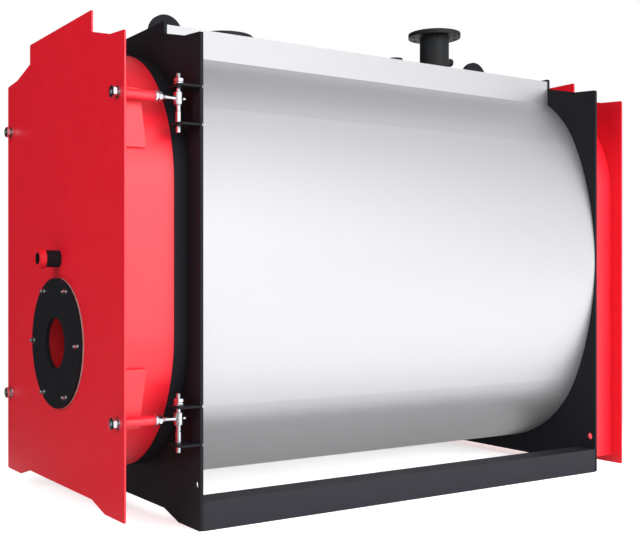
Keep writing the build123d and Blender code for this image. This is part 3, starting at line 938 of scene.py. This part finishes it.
front_washer = washer("front_washer", front_washer_radius, rod_hole, front_washer_thickness)
set_in_place(front_washer, (0, door_front_y - front_washer_thickness, 0), along_y)
rear_washer = washer("rear_washer", rear_washer_radius, rod_hole, rear_washer_thickness)
set_in_place(rear_washer, (0, tie_tube_back_y, 0), along_y)
front_nut = hex_nut("front_nut", front_nut_flats, front_nut_height, rod_radius)
rear_nut = hex_nut("rear_nut", rear_nut_flats, rear_nut_height, rod_radius)
set_in_place(front_nut, (0, door_front_y - front_washer_thickness - front_nut_height, 0), along_y)
rear_lock_nut = copy_of(rear_nut, "rear_lock_nut")
set_in_place(rear_nut, (0, rear_nut_y, 0), along_y)
set_in_place(rear_lock_nut, (0, 0, 0), (0, 0, rear_lock_nut_turn))
set_in_place(rear_lock_nut, (0, rear_lock_nut_y, 0), along_y)
tie_rod = joined("tie_rod", [rod_bar, eye, stub, front_washer, rear_washer, front_nut, rear_nut,
                             rear_lock_nut])
hand_over_at_ties(tie_rod, "tie_rod", 0, {"right": "door", "left": "door"})

# %% [markdown]
# The hinge pins are turned from bright bar: a collar that rests on the lower lug, a shoulder that
# carries the eye, and a threaded top with a washer and two nuts, the upper one locking the lower.
# The right ones stay with the boiler, and the left ones ride with the door.

# %% Hinge pin bar
pin_top = 0.088
pin_bottom = 0.120
collar_radius = 0.0105
collar_low = -0.0877
collar_high = -0.046
shoulder_low = -0.0263
shoulder_high = -0.0223
groove_radius = pin_radius - 0.003
groove_top = collar_high + 0.0015
edge = 0.0005
pin_pitch = 0.002
pin_nut_height = 0.0135
pin_washer_seat = 0.0463
pin_washer_thickness = 0.0035
pin_nut_foot = pin_washer_seat + pin_washer_thickness

pin_profile = [
    (0, -pin_bottom), (pin_radius - chamfer_size, -pin_bottom),
    (pin_radius, -pin_bottom + chamfer_size), (pin_radius, collar_low),
    (collar_radius - edge, collar_low), (collar_radius, collar_low + edge),
    (collar_radius, collar_high - edge), (collar_radius - edge, collar_high),
    (groove_radius, collar_high), (groove_radius, groove_top),
    (pin_radius, groove_top), (pin_radius, shoulder_low),
    (collar_radius - edge, shoulder_low), (collar_radius, shoulder_low + edge),
    (collar_radius, shoulder_high - edge), (collar_radius - edge, shoulder_high),
    (pin_radius, shoulder_high), (pin_radius, pin_nut_foot)]
pin_profile += thread(pin_radius, pin_nut_foot + thread_run_out, pin_top - edge, pin_pitch)
pin_profile += [(pin_radius - tip_chamfer, pin_top), (0, pin_top)]
pin_bar = turned("pin_bar", pin_profile)
print("pin", pin_bottom + pin_top, "m")

# %% Hinge pin washer and nuts
pin_nut_flats = 0.032
pin_washer_radius = 0.0175
pin_washer_hole = pin_radius + 0.0005
pin_nut_turn = math.radians(-3)
lock_nut_turn = math.radians(1)
lock_nut_foot = pin_nut_foot + pin_nut_height + lock_gap

pin_nut = hex_nut("pin_nut", pin_nut_flats, pin_nut_height, pin_radius)
lock_nut = copy_of(pin_nut, "lock_nut")
set_in_place(pin_nut, (0, 0, pin_nut_foot), (0, 0, pin_nut_turn))
set_in_place(lock_nut, (0, 0, lock_nut_foot), (0, 0, lock_nut_turn))
pin_washer = washer("pin_washer", pin_washer_radius, pin_washer_hole, pin_washer_thickness)
set_in_place(pin_washer, (0, 0, pin_washer_seat))
hinge_pin = joined("hinge_pin", [pin_bar, pin_washer, pin_nut, lock_nut])
hand_over_at_ties(hinge_pin, "hinge_pin", hinge_y, {"right": "boiler", "left": "door"})

# %% [markdown]
# Six studs hold the burner plate against its gasket. In the photograph each is a small bright nut
# with a short threaded end, so a stud, a washer and a nut are made once and copied round. Each copy
# is twisted a little differently, as a spanner leaves them.

# %% Burner plate studs
stud_circle = 0.228
stud_count = 6
stud_radius = 0.005
stud_reach = 0.019
stud_thread = (0.0003, 0.0123)
stud_pitch = 0.0015
stud_shank = 0.013
stud_end = stud_reach + 0.006
stud_nut_flats = 0.017
stud_nut_height = 0.008
stud_washer_radius = 0.0115
stud_washer_thickness = 0.002
first_stud_twist = 7
stud_twist_step = 23
plate_low, plate_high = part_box("burner_disc")
plate_centre_z = (plate_low.z + plate_high.z) / 2

stud_bar = turned("stud_bar", [(0, 0), (stud_radius - chamfer_size, 0)]
                  + thread(stud_radius, *stud_thread, stud_pitch)
                  + [(stud_radius, stud_shank), (stud_radius, stud_end), (0, stud_end)])
set_in_place(stud_bar, (0, -stud_reach, 0), along_y)
stud_washer = washer("stud_washer", stud_washer_radius, stud_radius + 0.0003,
                     stud_washer_thickness)
set_in_place(stud_washer, (0, -stud_washer_thickness, 0), along_y)
stud_nut = hex_nut("stud_nut", stud_nut_flats, stud_nut_height, stud_radius)
set_in_place(stud_nut, (0, -stud_washer_thickness - stud_nut_height, 0), along_y)
burner_stud = joined("burner_stud", [stud_bar, stud_washer, stud_nut])
for k in range(stud_count):
    angle = math.radians(k * 360 / stud_count)
    stud = copy_of(burner_stud, "burner_stud_" + str(k + 1))
    set_in_place(stud, (0, 0, 0), (0, math.radians(first_stud_twist + stud_twist_step * k), 0))
    set_in_place(stud, (stud_circle * math.cos(angle), plate_low.y,
                        plate_centre_z + stud_circle * math.sin(angle)))
    hand_over(stud, zinc, "door", "zinc_steel")
print("burner stud", len(burner_stud.data.polygons), "faces, at y", round(plate_low.y, 4))
bpy.data.objects.remove(burner_stud)

# %% [markdown]
# Behind the burner plate the port widens by a small step, and the gasket's raw edge would show in
# it. A black guard ring fills the step and keeps the flame off the gasket. It is one more turned
# ring, and it stays behind the plate's own bore, so that the port keeps its size.

# %% Gasket guard
port_radius = 0.099
throat_wall = 0.008
guard_clearance = 0.0003
guard_sides = 96
gasket_low, gasket_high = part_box("burner_gasket")
throat_low, throat_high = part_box("burner_throat")
guard_outer = (throat_high.x - throat_low.x) / 2 - throat_wall - guard_clearance
guard_inner = port_radius + guard_clearance
guard_length = gasket_high.y - gasket_low.y - 2 * guard_clearance
gasket_guard = turned("gasket_guard", [
    (guard_inner, 0), (guard_outer, 0), (guard_outer, guard_length), (guard_inner, guard_length),
    (guard_inner, 0)], guard_sides)
set_in_place(gasket_guard, (0, gasket_low.y + guard_clearance, plate_centre_z), along_y)
hand_over(gasket_guard, black_paint, "door", "black_paint")
print("gasket guard", round(guard_outer - guard_inner, 4), "by", round(guard_length, 4))

# %% [markdown]
# The cover at the back is a flat plate on the smoke box. Hexagon bolts round its edge let it come
# off for cleaning. The head is the nut shape again, over a washer, with a closed top.

# %% Rear cover bolt
bolt_washer_radius = 0.012
bolt_washer_hole = 0.004
bolt_washer_thickness = 0.002
bolt_head_flats = 0.018
bolt_head_height = 0.008
bolt_head_hole = 0.003
bolt_cap_radius = 0.0045
bolt_cap_top = 0.0093
cover_back_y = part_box("rear_cover")[1].y

bolt_washer = washer("bolt_washer", bolt_washer_radius, bolt_washer_hole, bolt_washer_thickness)
bolt_head = hex_nut("bolt_head", bolt_head_flats, bolt_head_height, bolt_head_hole)
set_in_place(bolt_head, (0, 0, bolt_washer_thickness))
bolt_cap = turned("bolt_cap", [
    (0, bolt_washer_thickness), (bolt_cap_radius, bolt_washer_thickness),
    (bolt_cap_radius, bolt_cap_top), (0, bolt_cap_top)])
bolt = joined("bolt", [bolt_washer, bolt_head, bolt_cap])
set_in_place(bolt, (0, cover_back_y, 0), along_y)
print("bolt", len(bolt.data.polygons), "faces")

# %% Rear cover bolt places
bolt_inset = 0.022
side_bolt_count = 5
first_bolt_z = 0.09
side_bolt_step = 0.27
arch_bolt_angles = (28, 56, 82)
bolt_twist = 17
box_low, box_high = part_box("smoke_box")
bolt_line = box_high.x - bolt_inset
arch_z = box_high.z - box_high.x

bolt_places = []
for sign in sides.values():
    for k in range(side_bolt_count):
        bolt_places.append((sign * bolt_line, box_low.z + first_bolt_z + k * side_bolt_step))
    for degrees in arch_bolt_angles:
        angle = math.radians(degrees)
        bolt_places.append((sign * bolt_line * math.cos(angle), arch_z + bolt_line * math.sin(angle)))
rear_bolts = []
for k, (x, z) in enumerate(bolt_places):
    one = copy_of(bolt, "rear_bolt")
    set_in_place(one, (0, 0, 0), (0, math.radians(bolt_twist * k), 0))
    rear_bolts.append(set_in_place(one, (x, 0, z)))
bpy.data.objects.remove(bolt)
hand_over(joined("rear_cover_bolts", rear_bolts), zinc, "boiler", "zinc_steel")
print("rear cover bolts", len(bolt_places))

# %% [markdown]
# The sight glass sits deep in its red ring, and a black seal of pressed graphite lines the bore in
# front of it. The seal is partly real and partly painted shade: its black lining stands in for the
# shade deep in the narrow bore, so that from the side the hole looks black. It is a turned ring like
# the washers, with a lip that holds the glass.

# %% Sight glass seal, partly painted shade
ring_low, ring_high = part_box("sight_ring")
glass_low, glass_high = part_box("sight_glass")
sight_z = (ring_low.z + ring_high.z) / 2
seal_outer = (glass_high.x - glass_low.x) / 2 - 0.0003
seal_inner = seal_outer - 0.003
lip_inner = seal_outer - 0.006
lip_length = 0.003
seal_front_gap = 0.0005
seal_length = glass_low.y - ring_low.y - 0.0006
lip_start = seal_length - lip_length
# The black lining of the bore is painted shade as well as the glass's seal.
sight_seal_and_shade = turned("sight_seal_and_shade", [
    (seal_inner, 0), (seal_outer, 0), (seal_outer, seal_length), (lip_inner, seal_length),
    (lip_inner, lip_start), (seal_inner, lip_start), (seal_inner, 0)])
set_in_place(sight_seal_and_shade, (0, ring_low.y + seal_front_gap, sight_z), along_y)
hand_over(sight_seal_and_shade, graphite, "door", "seal_rope")
print("sight seal", round(seal_length * 1000, 1), "mm long")

# %% [markdown]
# Plates and pipes are joined by fillet welds, painted over with the rest. A weld bead is a row of
# overlapping scales. A straight bead is turned on the lathe with a scalloped outline, half of it
# sunk in the corner that it fills. A round one is a torus, and every second ring of it is drawn in.

# %% Weld helpers
scale_pitch = 0.004
scale_depth = 0.0005
scale_valley = 0.05
scale_crest = 0.5
bead_sides = 10
bead_lift = 0.0005


def weld_seam(length, radius):
    """A straight bead from the origin along X."""
    count = round(length / scale_pitch)
    outline = [(0, 0)]
    for k in range(count):
        outline.append((radius - scale_depth, (k + scale_valley) * length / count))
        outline.append((radius, (k + scale_crest) * length / count))
    outline += [(radius - scale_depth, length), (0, length)]
    return set_in_place(turned("weld_seam", outline, bead_sides), (0, 0, 0), along_x)


def weld_ring(pipe_radius, radius):
    """A round bead about the Z axis, on a pipe of the given radius."""
    deselect()
    seam_radius = pipe_radius + bead_lift
    count = 2 * round(math.pi * seam_radius / scale_pitch)
    bpy.ops.mesh.primitive_torus_add(major_radius=seam_radius, minor_radius=radius,
                                     major_segments=count, minor_segments=bead_sides)
    bead = bpy.context.object
    bpy.ops.object.mode_set(mode="EDIT")
    bpy.ops.mesh.select_mode(type="VERT")
    bpy.ops.mesh.select_all(action="DESELECT")
    bpy.ops.object.mode_set(mode="OBJECT")
    for corner in bead.data.vertices:
        corner.select = (corner.index // bead_sides) % 2 == 0
    bpy.ops.object.mode_set(mode="EDIT")
    bpy.ops.transform.shrink_fatten(value=-scale_depth)
    bpy.ops.mesh.select_all(action="SELECT")
    bpy.ops.mesh.normals_make_consistent(inside=False)
    bpy.ops.object.mode_set(mode="OBJECT")
    return bead


# %% Door welds
tube_bead_radius = 0.0028
tube_bead = weld_ring(tie_tube_radius, tube_bead_radius)
set_in_place(tube_bead, (0, tube_low.y, 0), along_y)
bead_places = [(sign * tie_x, 0, z) for sign in sides.values() for z in tie_levels.values()]
hand_over(joined("tie_tube_welds", copied_to(bead_places, tube_bead, "tube_bead")),
          red_paint, "door", "red_paint")
print("tie tube welds", len(bead_places))

# %% Hinge lug welds
plate_face_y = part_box("front_plate")[0].y
lug_half_thickness = 0.004
lug_offsets = (0.042, -0.092)
lug_seam_radius = 0.0028
lug_seam_end = 0.588
lug_low_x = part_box("right_hinge_lugs")[0].x + 0.002
seam_places = []
for start_x in (lug_low_x, -lug_seam_end):
    for tie_z in tie_levels.values():
        for offset in lug_offsets:
            for face in (lug_half_thickness, -lug_half_thickness):
                seam_places.append((start_x, plate_face_y, tie_z + offset + face))
lug_seam = weld_seam(lug_seam_end - lug_low_x, lug_seam_radius)
hand_over(joined("hinge_lug_welds", copied_to(seam_places, lug_seam, "lug_seam")),
          black_paint, "boiler", "black_paint")
print("hinge lug seams", len(seam_places))

# %% Rail and flue welds
rail_seam_radius = 0.004
flue_bead_radius = 0.003
rail_low, rail_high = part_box("right_rail")
spigot_low, spigot_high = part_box("flue_spigot")
spigot_radius = (spigot_high.x - spigot_low.x) / 2
spigot_z = (spigot_low.z + spigot_high.z) / 2
rail_places = [(x, y, rail_high.z) for x in (rail_low.x, -rail_high.x)
               for y in (rail_low.y, rail_high.y)]
rail_seam = weld_seam(rail_high.x - rail_low.x, rail_seam_radius)
black_seams = copied_to(rail_places, rail_seam, "rail_seam")
flue_bead = weld_ring(spigot_radius, flue_bead_radius)
black_seams.append(set_in_place(flue_bead, (0, cover_back_y, spigot_z), along_y))
hand_over(joined("rail_and_flue_welds", black_seams), black_paint, "boiler", "black_paint")
print("rail and flue welds", len(rail_places) + 1)

# %% Pipe welds
pipe_bead_radius = 0.004
pipe_beads = []
for name in ("flow", "return"):
    pipe_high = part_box(name + "_pipe")[1]
    flange_foot_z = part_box(name + "_flange")[0].z
    pipe_radius = pipe_high.x
    bead = weld_ring(pipe_radius, pipe_bead_radius)
    pipe_beads.append(set_in_place(bead, (0, pipe_high.y - pipe_radius, flange_foot_z)))
    print(name, "pipe radius", round(pipe_radius, 4), "flange foot", round(flange_foot_z, 4))
hand_over(joined("pipe_welds", pipe_beads), pipe_paint, "boiler", "pipe_paint")
